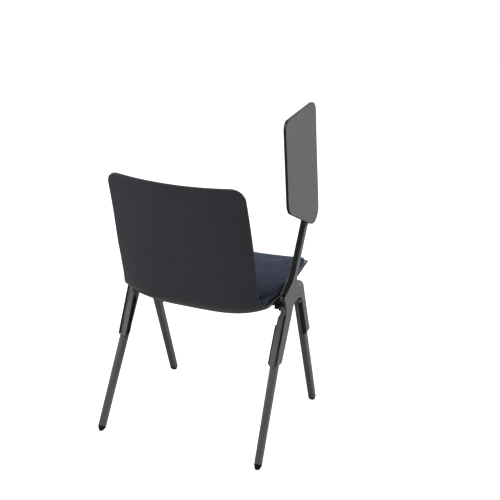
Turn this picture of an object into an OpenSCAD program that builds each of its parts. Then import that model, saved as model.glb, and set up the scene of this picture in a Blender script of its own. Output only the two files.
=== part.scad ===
// Stacking chair with a dished one-piece shell, a pair of cast side frames with plug-in legs,
// and a writing tablet that stands upright beside the sitter and swings down over the lap.
// +X is the sitter's right, +Y is forward, the floor is z = 0.

/* [Shell] */
// Height of the seat surface at its front crest
seat_height = 449; // [440:1:456]
// Height of the top edge of the back
back_height = 799; // [780:1:830]
// Width of the seat at its widest place
seat_width = 454; // [440:1:456]
// Thickness of the moulded shell
shell_thick = 6.5; // [5:0.5:8]
// Thickness of the upholstery
pad_thick = 9; // [6:1:12]

/* [Frame] */
// Overall width over the two side frames
frame_width = 516; // [512:1:530]
// Distance from the origin forward to the front feet
front_reach = 206; // [200:1:212]
// Distance from the origin back to the rear feet
rear_reach = 235; // [231:1:240]
// Distance of a front foot from the middle plane
front_foot_x = 245; // [243:1:247]
// Distance of a rear foot from the middle plane
rear_foot_x = 255; // [252:1:257]

/* [Tablet] */
// Size of the tablet from its rear edge to its front edge
tablet_depth = 214; // [200:1:230]
// Height of the tablet's front top corner when it stands upright
tablet_top_z = 966; // [940:1:1000]
// Thickness of the tablet
tablet_thick = 8; // [6:0.5:12]
// Inward lean of the upright tablet
tablet_lean = 3; // [1:0.5:4]

/* [Hidden] */
$fn = 48;

// Clearances
slip = 0.02;
gap = 0.3;
eps = 0.01;

// Shell profile, in the middle plane
seat_slope = 9.8;
seat_run = 276;
lip_radius = 70;
lip_turn = 35;
bend_radius = 66;
back_lean = 7;
back_radius = 1800;
crest_y = 204;
corner_radius = 46;
top_corner = 35;
pad_inset = 8;
pad_gap = 0.8;
seam_gap = 1.2;

// Side frames
outer_x = frame_width / 2;
plate_x = outer_x - 9;
node_x = outer_x - 19;
wall_x = outer_x - 25;
arm_x = outer_x - 17;
socket_top = 380;

// Legs
leg_top_size = [22, 28];
leg_foot_size = [20, 24];
leg_wall = 2.5;
leg_round = 7;
glide_height = 12;
tread_r = 7;
leg_screw_r = 3;
leg_head_r = 4.2;
leg_screw_z = [292, 346];

// Cross bars, each as [y, height of its end screws, corners of its right half as [x, top z],
// bottom of its end plates]
bar_width = 36;
bar_thick = 5;
rib_height = 8;
rib_thick = 3;
flange_x = node_x - 8;
front_bar = [62, 430, [[140, 409], [flange_x, 422]], 410];
rear_bar = [-21, 410, [[130, 394], [183, 410], [211, 420], [flange_x, 425]], 400];
flange_height = 30;
bar_screw_r = 4;
bar_screw_pitch = 16;

// Shell fixings
boss_x = 110;
boss_r = 10;
spacer_thick = 2;
shell_screw_r = 3;
boss_bite = 2;

// Tablet hinge
hinge_x = 247;
hinge_z = 684;
hinge_y = 120;
barrel_r = 9.5;
barrel_length = 40;
bush_r = 6.5;
pin_r = 5;
bush_flange = 1.5;
bush_flange_r = 8.5;
washer_thick = 0.8;
lug_thick = 5;
lug_r = 9;
plate_near = 10;
plate_thick = 3;
plate_y = [62, 150];
plate_w = [-26, 50];
tablet_front_y = 157;
tablet_slant = 27.3;
tablet_fall = 4;
tablet_drop = 94;
tablet_screw_r = 2.5;
insert_r = 4;
insert_length = 5;
relief_z = 645;
relief_x = hinge_x + 8.5;

// ---- Helpers ----

function unit(v) = v / norm(v);
function mix(a, b, t) = a + (b - a) * t;

// Arc that rounds the corner b of the path a, b, c
function corner_arc(a, b, c, r, n) =
    let (
        to_a = unit(a - b),
        to_c = unit(c - b),
        half = acos(to_a * to_c) / 2,
        centre = b + unit(to_a + to_c) * r / sin(half),
        start = b + to_a * r / tan(half) - centre,
        from = atan2(start.y, start.x),
        turn = -sign(cross(to_a, to_c)) * (180 - 2 * half)
    )
    [for (i = [0:n]) let (t = from + turn * i / n) centre + r * [cos(t), sin(t)]];

// Outline from corners given as [across, up, radius]
function rounded(p, n = 7) =
    let (k = len(p))
    [for (i = [0:k - 1])
        let (
            a = p[(i + k - 1) % k],
            b = p[i],
            c = p[(i + 1) % k]
        )
        each b.z > 0
            ? corner_arc([a.x, a.y], [b.x, b.y], [c.x, c.y], b.z, n)
            : [[b.x, b.y]]];

// Plate drawn in the side view (y, z) and filling x0 to x1
module side_plate(x0, x1) {
    translate([x0, 0, 0])
        rotate([90, 0, 90])
            linear_extrude(x1 - x0) children();
}

// Cylinder along X from x0 to x1
module rod_x(x0, x1, y, z, r) {
    translate([x0, y, z]) rotate([0, 90, 0]) cylinder(h = x1 - x0, r = r);
}

// Cylinder along Y from y0 to y1
module rod_y(y0, y1, x, z, r) {
    translate([x, y0, z]) rotate([-90, 0, 0]) cylinder(h = y1 - y0, r = r);
}

module both_sides() {
    children();
    mirror([1, 0, 0]) children();
}

module rounded_box(size, r) {
    translate([-size.x / 2, -size.y / 2])
        polygon(rounded([[0, 0, r], [size.x, 0, r], [size.x, size.y, r], [0, size.y, r]], 6));
}

// ---- Shell surface ----
// Each station along the profile is [y, z, normal y, normal z, distance from the front edge].

crest_top = [crest_y, seat_height];
seat_dir = [cos(seat_slope), sin(seat_slope)];
seat_up = [-sin(seat_slope), cos(seat_slope)];
lip_centre = crest_top - lip_radius * [0, 1];
seat_front = lip_centre + lip_radius * seat_up;
bend_start = seat_front - seat_run * seat_dir;
bend_centre = bend_start + bend_radius * seat_up;
bend_end = bend_centre - bend_radius * [cos(back_lean), sin(back_lean)];
back_centre = bend_end - back_radius * [cos(back_lean), sin(back_lean)];
back_turn = asin((back_height - back_centre.y) / back_radius) - back_lean;
lip_length = lip_radius * (lip_turn + seat_slope) * PI / 180;
bend_turn = 90 + seat_slope - back_lean;
bend_length = bend_radius * bend_turn * PI / 180;
back_length = back_radius * back_turn * PI / 180;
bend_at = lip_length + seat_run;
back_at = bend_at + bend_length;
shell_length = back_at + back_length;

// Station at distance s from the front edge
function station(s) =
    s < lip_length ?
        let (a = 90 - lip_turn + s / lip_radius * 180 / PI)
        concat(lip_centre + lip_radius * [cos(a), sin(a)], [cos(a), sin(a)], [s]) :
    s < bend_at ?
        concat(seat_front - (s - lip_length) * seat_dir, seat_up, [s]) :
    s < back_at ?
        let (a = 270 + seat_slope - (s - bend_at) / bend_radius * 180 / PI)
        concat(bend_centre + bend_radius * [cos(a), sin(a)], -[cos(a), sin(a)], [s]) :
        let (a = back_lean + (s - back_at) / back_radius * 180 / PI)
        concat(back_centre + back_radius * [cos(a), sin(a)], [cos(a), sin(a)], [s]);

// Depth of the dish at distance s
function dish(s) = lookup(s, [
    [0, 10], [lip_length, 14], [lip_length + 100, 20], [bend_at - 60, 24.5], [bend_at, 36.5],
    [bend_at + 0.5 * bend_length, 37.5], [back_at, 37], [back_at + 120, 25], [shell_length, 29]
]);

// How flat the bottom of the dish is at distance s
function fullness(s) = lookup(s, [
    [lip_length + 100, 2.2], [bend_at - 40, 2.3], [bend_at + 0.4 * bend_length, 3.6],
    [back_at, 3.6], [shell_length, 2]
]);

// Height of the dish at x on the station at distance s
function rise(s, x) = dish(s) * pow(abs(x) / (seat_width / 2), fullness(s));

// Half width of the shell at distance s, before its corners are rounded
function half_width(s) = seat_width / 2 + lookup(s, [
    [0, -13], [lip_length + 40, -5], [lip_length + 120, 0], [bend_at - 60, 0], [bend_at, -4],
    [bend_at + 0.5 * bend_length, -8.5], [back_at, -17], [back_at + 150, -17], [shell_length, -22.5]
]);

// How much a rounded corner takes off at distance d from an end
function corner_cut(d, r) = d >= r ? 0 : r - sqrt(max(0, r * r - (r - d) * (r - d)));

// Point at x on station q, lifted by h along the surface normal
function surface_point(q, x, h) =
    let (
        slope = x == 0 ? 0 : rise(q[4], x) * fullness(q[4]) / x,
        flat = sqrt(1 + slope * slope),
        lift = rise(q[4], x) + h / flat
    )
    [x - h * slope / flat, q[0] + q[2] * lift, q[1] + q[3] * lift];

// Distances of the stations of a strip from s0 to s1, closer together at the rounded ends
function strip_stations(s0, s1, r0, r1, n) = concat(
    [for (i = [0:5]) if (r0 > 0) s0 + r0 * (1 - cos(90 * i / 6))],
    [for (i = [0:n]) mix(s0 + r0, s1 - r1, i / n)],
    [for (i = [5:-1:0]) if (r1 > 0) s1 - r1 * (1 - cos(90 * i / 6))]
);

// Closed sheet that lies between the heights h0 and h1 over the shell surface
module sheet(s0, s1, r0, r1, inset, h0, h1, n, m) {
    stations = strip_stations(s0, s1, r0, r1, n);
    last = len(stations) - 1;
    row = m + 1;
    layer = (last + 1) * row;
    points = [for (h = [h0, h1]) for (s = stations)
        let (
            cut = max(corner_cut(s - s0, r0), corner_cut(s1 - s, r1)),
            w = half_width(s) - inset - cut,
            q = station(s)
        )
        for (j = [0:m]) surface_point(q, w * (2 * j / m - 1), h)];
    lower = [for (i = [0:last - 1]) for (j = [0:m - 1])
        let (a = i * row + j) each [[a, a + 1, a + row], [a + 1, a + row + 1, a + row]]];
    upper = [for (f = lower) [f[0], f[2], f[1]] + [layer, layer, layer]];
    rim = concat(
        [for (j = [0:m - 1]) j],
        [for (i = [0:last - 1]) i * row + m],
        [for (j = [m:-1:1]) last * row + j],
        [for (i = [last:-1:1]) i * row]
    );
    k = len(rim);
    sides = [for (i = [0:k - 1])
        let (a = rim[i], b = rim[(i + 1) % k])
        each [[a, a + layer, b], [b, a + layer, b + layer]]];
    polyhedron(points, concat(lower, upper, sides), convexity = 6);
}

seam_at = bend_at + 0.3 * bend_length;

module seat_shell() {
    color("#2c2d31")
        sheet(0, shell_length, corner_radius, top_corner, 0, -shell_thick, 0, 44, 20);
}

module seat_pad() {
    color("#2e3446")
        sheet(pad_inset, seam_at - seam_gap / 2, corner_radius - pad_inset, 0, pad_inset,
              pad_gap, pad_thick, 24, 16);
}

module back_pad() {
    color("#2e3446")
        sheet(seam_at + seam_gap / 2, shell_length - pad_inset, 0, top_corner - pad_inset,
              pad_inset, pad_gap, pad_thick, 26, 16);
}

// Underside of the shell over the point x, y of the seat
function seat_station(y) = lip_length + (seat_front.x - y) / cos(seat_slope);
function shell_under(x, y) =
    let (s = seat_station(y))
    station(s)[1] + rise(s, x) - shell_thick;

// ---- Side frames ----

// Each leg as [foot x, foot y, top x, forward run per unit of height, height of its top]
front_line = [front_foot_x, front_reach, 244.5, -0.335, 402];
rear_line = [rear_foot_x, -rear_reach, 240, 0.545, 377];

function leg_splay(leg) = (leg[2] - leg[0]) / leg[4];
function leg_point(leg, z) = [leg[0] + leg_splay(leg) * z, leg[1] + leg[3] * z, z];

// Corners of the side view: the rear shoulder, the two branches and the arch between them
branch_corners = [
    [-57, 449, 7], [-41, 400, 30], [-112, 259, 6], [-74, 257, 7], [-7, 374, 50],
    [12, 410, 18], [60, 410, 16], [73, 390, 20], [113, 273, 4], [139, 275, 5],
    [129, 297, 20], [80, 442, 13], [62, 459, 10]
];
arm_rise = 1.718;
function arm_rear_y(z) = 37 + (z - 533) / arm_rise;
function arm_front_y(z) = 57 + (z - 533) / arm_rise;
arm_top = 672;
arm_corners = [
    [28, 474, 7], [57, 533, 90], [arm_front_y(arm_top), arm_top, 0],
    [arm_rear_y(arm_top), arm_top, 0], [7, 482, 70]
];

module right_outline() polygon(rounded(concat(branch_corners, arm_corners)));
module left_outline() polygon(rounded(concat(branch_corners, [[12, 469, 24]])));

module above(z) {
    intersection() {
        children();
        translate([0, -400, z]) cube([400, 800, 800]);
    }
}

module front_wall() {
    side_plate(wall_x, plate_x + eps)
        polygon([[139, 275], [129, 297], [104, 373], [104, socket_top + 6],
                 [88, socket_top + 6], [92, 373], [118, 297], [122, 275]]);
}

module rear_wall() {
    side_plate(wall_x, plate_x - 1)
        polygon([[-111, 259], [-49.5, 381], [-30, 388], [-20, 381], [-84, 259]]);
}

// Slots between the outer plate and the two legs, open to the rear
module branch_slots() {
    side_plate(outer_x - 7, outer_x - 1.8) {
        polygon([[-120, 248], [-47, 393], [-37, 388], [-110, 243]]);
        polygon([[64, 389], [104, 269], [119, 268], [82, 385], [76, 394]]);
    }
}

// Turns the children from upright to lie along a leg, with the origin on its axis at height z
module along_leg(leg, z) {
    splay = leg_splay(leg);
    translate(leg_point(leg, z))
        rotate([atan(-leg[3] * cos(atan(splay))), atan(splay), 0])
            children();
}

// Tapered body of a leg from height z0 to its top, swollen by grow on every side
module leg_body(leg, z0, grow) {
    length = (leg[4] - z0) * sqrt(1 + pow(leg[3], 2) + pow(leg_splay(leg), 2)) + grow;
    swell = 2 * [grow, grow];
    along_leg(leg, z0)
        hull() {
            linear_extrude(eps) rounded_box(leg_foot_size + swell, leg_round);
            translate([0, 0, length - eps])
                linear_extrude(eps) rounded_box(leg_top_size + swell, leg_round);
        }
}

// Places of the leg screws on the right side, as [leg axis x, y, z]
front_screw_shift = 4;
leg_screw_places = concat(
    [for (z = leg_screw_z) leg_point(front_line, z) + [0, front_screw_shift, 0]],
    [for (z = leg_screw_z) leg_point(rear_line, z)]
);

// Places of the cross bar screws on the right side, as [y, z]
bar_screw_places = [for (b = [front_bar, rear_bar]) for (k = [-0.5, 0.5])
    [b[0] + k * bar_screw_pitch, b[1]]];

link_plug_at = [56, 449];
plug_r = 5;
plug_depth = 8;

module side_frame_body() {
    difference() {
        union() {
            side_plate(plate_x, outer_x) children();
            intersection() {
                side_plate(node_x, plate_x + eps) children();
                translate([0, -60, socket_top]) cube([400, 160, 104]);
            }
            front_wall();
            rear_wall();
        }
        leg_body(front_line, glide_height, gap);
        leg_body(rear_line, glide_height, gap);
        branch_slots();
        shoulder_channel();
        for (p = leg_screw_places)
            rod_x(p.x, outer_x - 0.6, p.y, p.z, leg_screw_r + slip);
        for (p = bar_screw_places)
            rod_x(node_x - 1, node_x + 13, p.x, p.y, bar_screw_r + slip);
        rod_x(outer_x - plug_depth, outer_x + 1, link_plug_at.x, link_plug_at.y, plug_r + slip);
    }
}

channel_depth = 13;
channel_wall = 2.4;

// Channel along the rear of the arm, open to the back
module arm_channel() {
    side_plate(arm_x + channel_wall, outer_x - channel_wall)
        polygon([
            [arm_rear_y(640) - 4, 640], [arm_rear_y(640) + channel_depth, 640],
            [arm_rear_y(540) + channel_depth, 540], [17, 472], [-5, 461],
            [-15, 478], [0, 490], [arm_rear_y(540) - 4, 540]
        ]);
}

// The same channel where it runs over the rear shoulder, open inwards beyond the end of the cover
module shoulder_channel() {
    side_plate(arm_x + channel_wall, outer_x - channel_wall)
        polygon([[16, 490], [16, 471], [-43, 440], [-75, 452], [-5, 495]]);
    side_plate(node_x - 1, outer_x - channel_wall)
        polygon([[-40, 450], [-40, 442], [-34, 415], [-70, 415], [-80, 440], [-80, 482]]);
}

strip_side = 0.9;
strip_depth = 2;

// Band between the depths d0 and d1 under the rear edge of the arm, longer by extra at its ends
module arm_band(d0, d1, extra) {
    intersection() {
        difference() {
            offset(delta = -d0) right_outline();
            offset(delta = -d1) right_outline();
        }
        polygon([
            [95, 655 + extra], [118, 655 + extra], [47, 533], [22, 490], [-5, 468],
            [-40 - extra, 450], [-60 - extra, 466], [-20, 495], [20, 540]
        ]);
    }
}

// Black cover that closes the channel of the arm
module arm_strip() {
    color("#161617")
    side_plate(arm_x + strip_side, outer_x - strip_side)
        arm_band(0.3, strip_depth - 0.05, 0);
}

module tablet_head() {
    barrel_end = barrel_length / 2;
    rod_y(hinge_y - barrel_end, hinge_y + barrel_end, hinge_x, hinge_z, barrel_r);
    side_plate(arm_x, relief_x - eps)
        polygon([
            [hinge_y - barrel_end, hinge_z], [hinge_y + barrel_end, hinge_z],
            [hinge_y + barrel_end, hinge_z - 8], [arm_front_y(660), 660],
            [arm_rear_y(660), 660], [hinge_y - barrel_end, hinge_z - 8]
        ]);
    translate([arm_x - 13, hinge_y - 12, hinge_z - 14]) cube([14, 24, 18]);
}

module right_side_frame() {
    color("#55565a")
    difference() {
        union() {
            side_frame_body() right_outline();
            above(474) side_plate(arm_x, plate_x + eps) right_outline();
            tablet_head();
        }
        arm_channel();
        side_plate(arm_x + strip_side - 0.05, outer_x - strip_side + 0.05)
            arm_band(-1, strip_depth, 0.1);
        translate([relief_x, 60, relief_z]) cube([20, 120, 80]);
        rod_y(hinge_y - 60, hinge_y + 60, hinge_x, hinge_z, bush_r + slip);
        rod_x(relief_x - stem_length, relief_x + 1, stow_at.x, stow_at.y, stem_r + slip);
        translate([rest_at.x, rest_at.y, rest_z - stem_length]) cylinder(h = 20, r = stem_r + slip);
    }
}

module left_side_frame() {
    color("#55565a")
    mirror([1, 0, 0]) side_frame_body() left_outline();
}

// ---- Legs, glides and their screws ----

plug_length = 22;
liner_thick = 1;
liner_x = 250;
liner_z = [269, 388];

// Space around the outer flank of a front leg, inside its branch
module liner_zone(margin) {
    translate([liner_x - margin, 0, liner_z[0] - margin])
        cube([20, 200, liner_z[1] - liner_z[0] + 2 * margin]);
}

// Hollow leg, open at its foot and closed at its top, with a bed for the liner in a front leg
module hollow_leg(leg) {
    color("#47484c")
    difference() {
        leg_body(leg, glide_height, 0);
        leg_body(leg, glide_height - 2, -leg_wall);
        if (leg == front_line)
            difference() {
                liner_zone(0.05);
                leg_body(leg, glide_height, -liner_thick - 0.05);
            }
        for (p = leg_screw_places) {
            rod_x(p.x, p.x + 20, p.y, p.z, leg_screw_r + gap);
            rod_x(p.x - 20, p.x, p.y, p.z, leg_head_r + 1);
        }
    }
}

module front_leg_right() hollow_leg(front_line);
module rear_leg_right() hollow_leg(rear_line);
module front_leg_left() mirror([1, 0, 0]) hollow_leg(front_line);
module rear_leg_left() mirror([1, 0, 0]) hollow_leg(rear_line);

// Thin liners between the outer flanks of the front legs and the castings
module leg_liners() {
    color("#161617")
    both_sides()
        difference() {
            intersection() {
                leg_body(front_line, glide_height, 0);
                liner_zone(0);
            }
            leg_body(front_line, glide_height, -liner_thick);
            for (p = leg_screw_places)
                rod_x(p.x, p.x + 20, p.y, p.z, leg_screw_r + gap);
        }
}

// Foot that narrows to a small round tread, with a plug that fills the end of the leg
module glide(leg) {
    collar = 3;
    color("#1d1d1f")
    difference() {
        union() {
            hull() {
                along_leg(leg, glide_height)
                    translate([0, 0, -collar - 0.2])
                        linear_extrude(collar) rounded_box(leg_foot_size, leg_round);
                translate([leg[0], leg[1], -1]) cylinder(h = 2, r = tread_r);
            }
            along_leg(leg, glide_height)
                translate([0, 0, -collar])
                    linear_extrude(plug_length)
                        rounded_box(leg_foot_size - 2 * [leg_wall + gap, leg_wall + gap],
                                    leg_round - 0.1);
        }
        translate([leg[0] - 40, leg[1] - 60, -40]) cube([80, 120, 40]);
    }
}

module front_glides() both_sides() glide(front_line);
module rear_glides() both_sides() glide(rear_line);

// Socket head screw along X with its head towards the middle of the chair
module screw_x(head_x, tip_x, y, z, r, head_r, head_h) {
    difference() {
        union() {
            rod_x(head_x, tip_x, y, z, r);
            rod_x(head_x - head_h, head_x, y, z, head_r);
        }
        rod_x(head_x - head_h - 1, head_x - head_h + 2, y, z, r * 0.5);
    }
}

module leg_screws() {
    color("#2a2a2c")
    both_sides()
        for (p = leg_screw_places)
            screw_x(p.x + leg_foot_size.x / 2 - leg_wall - 1.2, outer_x - 0.8, p.y, p.z,
                    leg_screw_r, leg_head_r, 3.5);
}

// ---- Cross bars ----

module cross_bar(bar) {
    color("#222224")
    difference() {
        union() {
            translate([0, bar[0] + bar_width / 2, 0]) rotate([90, 0, 0]) {
                linear_extrude(bar_width) bar_band(bar[2], bar_thick);
                linear_extrude(rib_thick) bar_band(bar[2], rib_height);
                translate([0, 0, bar_width - rib_thick])
                    linear_extrude(rib_thick) bar_band(bar[2], rib_height);
            }
            both_sides()
                translate([flange_x, bar[0] - bar_width / 2, bar[3]])
                    cube([node_x - flange_x, bar_width, flange_height]);
        }
        for (x = [-boss_x, boss_x])
            translate([x, bar[0], bar[2][0].y - 20]) cylinder(h = 40, r = shell_screw_r + gap);
        both_sides()
            for (k = [-0.5, 0.5])
                rod_x(flange_x - 20, node_x + 1, bar[0] + k * bar_screw_pitch, bar[1],
                      bar_screw_r + gap);
    }
}

// Front view of a cross bar, which steps up under the shell towards the side frames
module bar_band(line, depth) {
    right = [for (p = line) [p.x + (p.x == flange_x ? eps : 0), p.y]];
    last = len(right) - 1;
    polygon(concat(
        [for (i = [last:-1:0]) [-right[i].x, right[i].y]],
        right,
        [for (i = [last:-1:0]) right[i] - [0, depth]],
        [for (p = right) [-p.x, p.y - depth]]
    ));
}

module front_cross_bar() cross_bar(front_bar);
module rear_cross_bar() cross_bar(rear_bar);

module cross_bar_screws() {
    color("#2a2a2c")
    both_sides()
        for (p = bar_screw_places)
            screw_x(flange_x - 0.1, node_x + 12, p.x, p.y, bar_screw_r, 6.5, 4.5);
}

// ---- Shell fixings ----

boss_places = [for (b = [front_bar, rear_bar]) for (x = [-boss_x, boss_x]) [x, b[0], b[2][0].y]];

module shell_bosses() {
    color("#2c2d31")
    for (p = boss_places)
        translate([p.x, p.y, p.z + spacer_thick + 0.05])
            difference() {
                cylinder(h = shell_under(p.x, p.y) + boss_bite - p.z - spacer_thick, r = boss_r);
                translate([0, 0, -1]) cylinder(h = 13, r = shell_screw_r + slip);
            }
}

module shell_spacers() {
    color("#161617")
    for (p = boss_places)
        translate([p.x, p.y, p.z + 0.02])
            difference() {
                cylinder(h = spacer_thick, r = boss_r + 1);
                translate([0, 0, -1]) cylinder(h = 9, r = shell_screw_r + gap);
            }
}

module shell_screws() {
    head_h = 3.2;
    color("#2a2a2c")
    for (p = boss_places)
        translate([p.x, p.y, p.z - bar_thick - 0.02])
            difference() {
                union() {
                    cylinder(h = bar_thick + spacer_thick + 11, r = shell_screw_r);
                    translate([0, 0, -head_h]) cylinder(h = head_h, r = 5.5);
                }
                translate([0, 0, -head_h - 1]) cylinder(h = 3, r = 1.6);
            }
}

// Small hooked buffers that keep stacked chairs apart
module stacking_buffers() {
    y0 = rear_bar[0] - bar_width / 2;
    z0 = rear_bar[3] + 16;
    color("#111112")
    both_sides()
        translate([flange_x - 3, 0, 0])
            rotate([90, 0, 90])
                linear_extrude(10)
                    polygon(rounded([
                        [y0 - 0.1, z0 + 14, 0], [y0 - 19, z0 + 12, 4], [y0 - 25, z0 + 1, 3],
                        [y0 - 19, z0 - 4, 3], [y0 - 13, z0 + 4, 3], [y0 - 0.1, z0 + 6, 0]
                    ], 5));
}

// Strips on the inner side of the rear branches, where stacked chairs touch
strip_thick = 4.4;

module stacking_strips() {
    color("#161617")
    both_sides()
        difference() {
            side_plate(wall_x - strip_thick, wall_x - 0.05)
                polygon([[-108.3, 262], [-58.4, 361], [-45, 361], [-94, 262]]);
            leg_body(rear_line, glide_height, 0.1);
        }
}

module link_plugs() {
    color("#3a3a3d")
    both_sides()
        difference() {
            rod_x(outer_x - plug_depth + 1, outer_x - 0.4, link_plug_at.x, link_plug_at.y, plug_r);
            rod_x(outer_x - 1.6, outer_x + 1, link_plug_at.x, link_plug_at.y, 2);
        }
}

// ---- Tablet ----
// Drawn in its own frame: x away from the sitter, y forward and w up along the upright board,
// measured from the hinge axis.

module tablet_place() {
    translate([hinge_x, 0, hinge_z]) rotate([0, -tablet_lean, 0]) children();
}

board_near = plate_near + plate_thick;
board_high = tablet_top_z - hinge_z;
board_rear_y = tablet_front_y - tablet_depth;
board_rear_high = board_high - tablet_depth * tan(tablet_fall);
board_rear_low = -tablet_drop + tablet_depth * tan(tablet_slant);
tablet_screw_places = [for (y = [70, 134]) for (w = [-17, 42]) [y, w]];

module tablet_top() {
    color("#636361")
    tablet_place()
        difference() {
            side_plate(board_near, board_near + tablet_thick)
                polygon(rounded([
                    [board_rear_y, board_rear_high, 26], [board_rear_y, board_rear_low, 36],
                    [tablet_front_y, -tablet_drop, 42], [tablet_front_y, board_high, 26]
                ], 12));
            for (p = tablet_screw_places)
                rod_x(board_near - 1, board_near + insert_length + 0.3, p.x, p.y, insert_r + slip);
        }
}

// Distance from the barrel's end face to the outer face of a lug
lug_in = barrel_length / 2 + bush_flange + washer_thick + 0.3;

module tablet_bracket() {
    color("#222224")
    tablet_place()
        difference() {
            union() {
                side_plate(plate_near, board_near - slip)
                    polygon(rounded([
                        [plate_y[0], plate_w[0], 8], [plate_y[1], plate_w[0], 8],
                        [plate_y[1], plate_w[1], 8], [plate_y[0], plate_w[1], 8]
                    ]));
                for (y = [hinge_y - lug_in - lug_thick, hinge_y + lug_in]) {
                    rod_y(y, y + lug_thick, 0, 0, lug_r);
                    translate([0, y, -lug_r]) cube([plate_near + eps, lug_thick, 2 * lug_r]);
                }
            }
            rod_y(hinge_y - 60, hinge_y + 60, 0, 0, pin_r + slip);
            for (p = tablet_screw_places) {
                rod_x(plate_near - 1, board_near + 1, p.x, p.y, tablet_screw_r + gap);
                rod_x(plate_near - 1, plate_near + 1.6, p.x, p.y, 5.2);
            }
        }
}

module tablet_screws() {
    color("#2a2a2c")
    tablet_place()
        for (p = tablet_screw_places)
            difference() {
                union() {
                    rod_x(plate_near + 0.2, board_near + insert_length - 0.4, p.x, p.y, tablet_screw_r);
                    rod_x(plate_near + 0.2, plate_near + 1.5, p.x, p.y, 5);
                }
                rod_x(plate_near - 1, plate_near + 1, p.x, p.y, 1.4);
            }
}

module tablet_inserts() {
    color("#b08d45")
    tablet_place()
        for (p = tablet_screw_places)
            difference() {
                rod_x(board_near + 0.1, board_near + insert_length, p.x, p.y, insert_r);
                rod_x(board_near - 1, board_near + insert_length + 1, p.x, p.y, tablet_screw_r + slip);
            }
}

// ---- Hinge ----

pin_end = lug_in + lug_thick;
ring_groove = 0.8;

module hinge_pin() {
    color("#8d8f92")
    difference() {
        union() {
            rod_y(hinge_y - pin_end - 3.5, hinge_y + pin_end + 0.2, hinge_x, hinge_z, pin_r);
            rod_y(hinge_y + pin_end + 0.2, hinge_y + pin_end + 3, hinge_x, hinge_z, 8);
        }
        translate([hinge_x, hinge_y - pin_end - 1.6, hinge_z]) rotate([90, 0, 0])
            difference() {
                cylinder(h = 1.2, r = pin_r + 2);
                translate([0, 0, -1]) cylinder(h = 4, r = pin_r - ring_groove);
            }
    }
}

module retaining_ring() {
    color("#2a2a2c")
    translate([hinge_x, hinge_y - pin_end - 1.7, hinge_z]) rotate([90, 0, 0])
        difference() {
            cylinder(h = 1, r = pin_r + 3);
            translate([0, 0, -1]) cylinder(h = 3, r = pin_r - ring_groove + 0.05);
            translate([-2.5, -20, -1]) cube([5, 20, 3]);
        }
}

module hinge_bushes() {
    length = barrel_length / 2 - 3;
    color("#d8d8d4")
    for (side = [-1, 1])
        translate([hinge_x, hinge_y + side * (barrel_length / 2 + 0.02), hinge_z])
            rotate([side * 90, 0, 0])
                difference() {
                    union() {
                        cylinder(h = length, r = bush_r);
                        translate([0, 0, -bush_flange]) cylinder(h = bush_flange, r = bush_flange_r);
                    }
                    translate([0, 0, -5]) cylinder(h = length + 10, r = pin_r + 0.05);
                }
}

module friction_washers() {
    start = barrel_length / 2 + bush_flange + 0.15;
    color("#9a9a9c")
    for (y = [hinge_y - start - washer_thick, hinge_y + start])
        difference() {
            rod_y(y, y + washer_thick, hinge_x, hinge_z, 8.8);
            rod_y(y - 1, y + washer_thick + 1, hinge_x, hinge_z, pin_r + slip);
        }
}

// Rubber bumpers, one for the upright tablet and one for the lowered tablet
stem_r = 2.5;
stem_length = 5;
stow_at = [118, 664];
rest_at = [arm_x - 8, hinge_y];
rest_z = hinge_z + 4;

module stow_bumper() {
    reach = plate_near * cos(tablet_lean) + (hinge_z - stow_at.y) * sin(tablet_lean);
    color("#161617") {
        rod_x(relief_x - stem_length + 0.5, relief_x + 0.5, stow_at.x, stow_at.y, stem_r);
        rod_x(relief_x + 0.02, hinge_x + reach - 0.3, stow_at.x, stow_at.y, 4.5);
    }
}

module rest_bumper() {
    color("#161617") {
        translate([rest_at.x, rest_at.y, rest_z - stem_length + 0.5])
            cylinder(h = stem_length, r = stem_r);
        translate([rest_at.x, rest_at.y, rest_z + 0.02])
            cylinder(h = hinge_z + plate_near - rest_z - 0.2, r = 5);
    }
}

seat_shell();
seat_pad();
back_pad();
shell_bosses();
shell_spacers();
shell_screws();
right_side_frame();
left_side_frame();
arm_strip();
front_leg_right();
rear_leg_right();
front_leg_left();
rear_leg_left();
leg_liners();
leg_screws();
front_glides();
rear_glides();
front_cross_bar();
rear_cross_bar();
cross_bar_screws();
stacking_buffers();
stacking_strips();
link_plugs();
tablet_top();
tablet_bracket();
tablet_screws();
tablet_inserts();
hinge_pin();
hinge_bushes();
friction_washers();
retaining_ring();
stow_bumper();
rest_bumper();
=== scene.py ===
"""Looks of the stacking chair with a writing tablet: shell, sewn upholstery, materials, light."""

import math
import random

import bmesh
import bpy
import numpy as np
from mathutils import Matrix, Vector
from mathutils.bvhtree import BVHTree


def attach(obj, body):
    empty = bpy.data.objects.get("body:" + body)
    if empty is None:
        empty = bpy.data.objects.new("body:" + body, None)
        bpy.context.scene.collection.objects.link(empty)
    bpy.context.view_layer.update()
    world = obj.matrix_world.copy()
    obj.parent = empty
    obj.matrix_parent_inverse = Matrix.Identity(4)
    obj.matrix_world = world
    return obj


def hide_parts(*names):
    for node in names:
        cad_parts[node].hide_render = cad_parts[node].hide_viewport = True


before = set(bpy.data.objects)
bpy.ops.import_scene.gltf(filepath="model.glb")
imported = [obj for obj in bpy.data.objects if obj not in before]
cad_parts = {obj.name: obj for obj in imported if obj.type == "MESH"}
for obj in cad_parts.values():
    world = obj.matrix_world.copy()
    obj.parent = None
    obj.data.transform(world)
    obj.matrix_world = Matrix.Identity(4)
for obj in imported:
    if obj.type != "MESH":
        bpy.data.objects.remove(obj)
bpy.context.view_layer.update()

MM = 0.001
RNG = random.Random(7)

# ---- Shell profile, the same as the design's (mm, degrees) ----

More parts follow.
